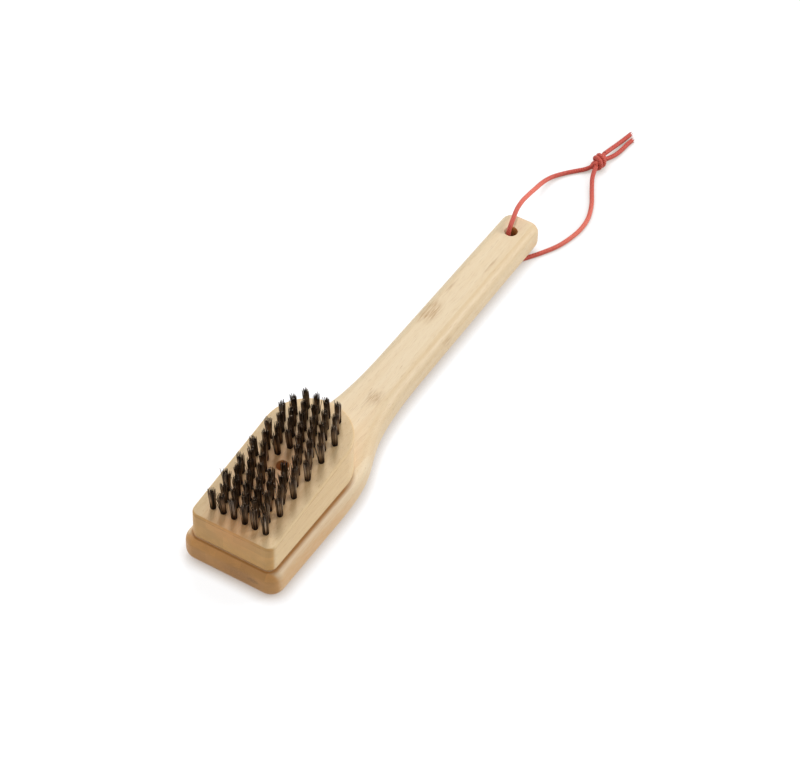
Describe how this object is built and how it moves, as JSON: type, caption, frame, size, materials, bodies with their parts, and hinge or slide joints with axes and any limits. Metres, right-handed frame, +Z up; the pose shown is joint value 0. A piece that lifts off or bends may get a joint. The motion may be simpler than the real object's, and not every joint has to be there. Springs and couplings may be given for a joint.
{
  "type": "grill brush",
  "caption": "Long-handled scrubbing brush with a wedge-shaped wooden block of wire tufts, a paddle handle and a knotted hanging cord.",
  "frame": {"origin": "centre of the brush's own bounding box at its lowest point, without the hanging cord: the plane of the table that it lies on", "axes": "+Z up, away from the table; +X along the handle, from the brush head to the hanging hole; +Y to the left when looking from the head to the hanging hole with the tufts up"},
  "size_m": [0.5656, 0.0796, 0.0806],
  "materials": {
    "bamboo_handle": "pale laminated bamboo, sanded and oiled, satin",
    "bamboo_block": "pale laminated bamboo, sanded, satin",
    "brush_wire": "fine drawn steel wire, dark grey-brown in the tuft, bright at the cut tips",
    "zinc_screw": "zinc-plated steel",
    "beech_dowel": "plain turned beech",
    "waxed_cord": "waxed red cotton cord, fine twist"
  },
  "bodies": {
    "root": {"handle_board": "bamboo_handle", "brush_block": "bamboo_block", "tuft_row_01": "brush_wire", "tuft_row_02": "brush_wire", "tuft_row_03": "brush_wire", "tuft_row_04": "brush_wire", "tuft_row_05": "brush_wire", "tuft_row_06_left": "brush_wire", "tuft_row_06_right": "brush_wire", "tuft_row_07_left": "brush_wire", "tuft_row_07_right": "brush_wire", "tuft_row_08_left": "brush_wire", "tuft_row_08_right": "brush_wire", "tuft_row_09": "brush_wire", "tuft_row_10": "brush_wire", "tuft_row_11": "brush_wire", "tuft_row_12": "brush_wire", "tuft_row_13": "brush_wire", "block_screw": "zinc_screw", "dowel_front": "beech_dowel", "dowel_rear": "beech_dowel", "cord_upper_strand": "waxed_cord", "cord_lower_strand": "waxed_cord", "cord_knot": "waxed_cord", "cord_tail_long": "waxed_cord", "cord_tail_short": "waxed_cord"}
  },
  "joints": []
}
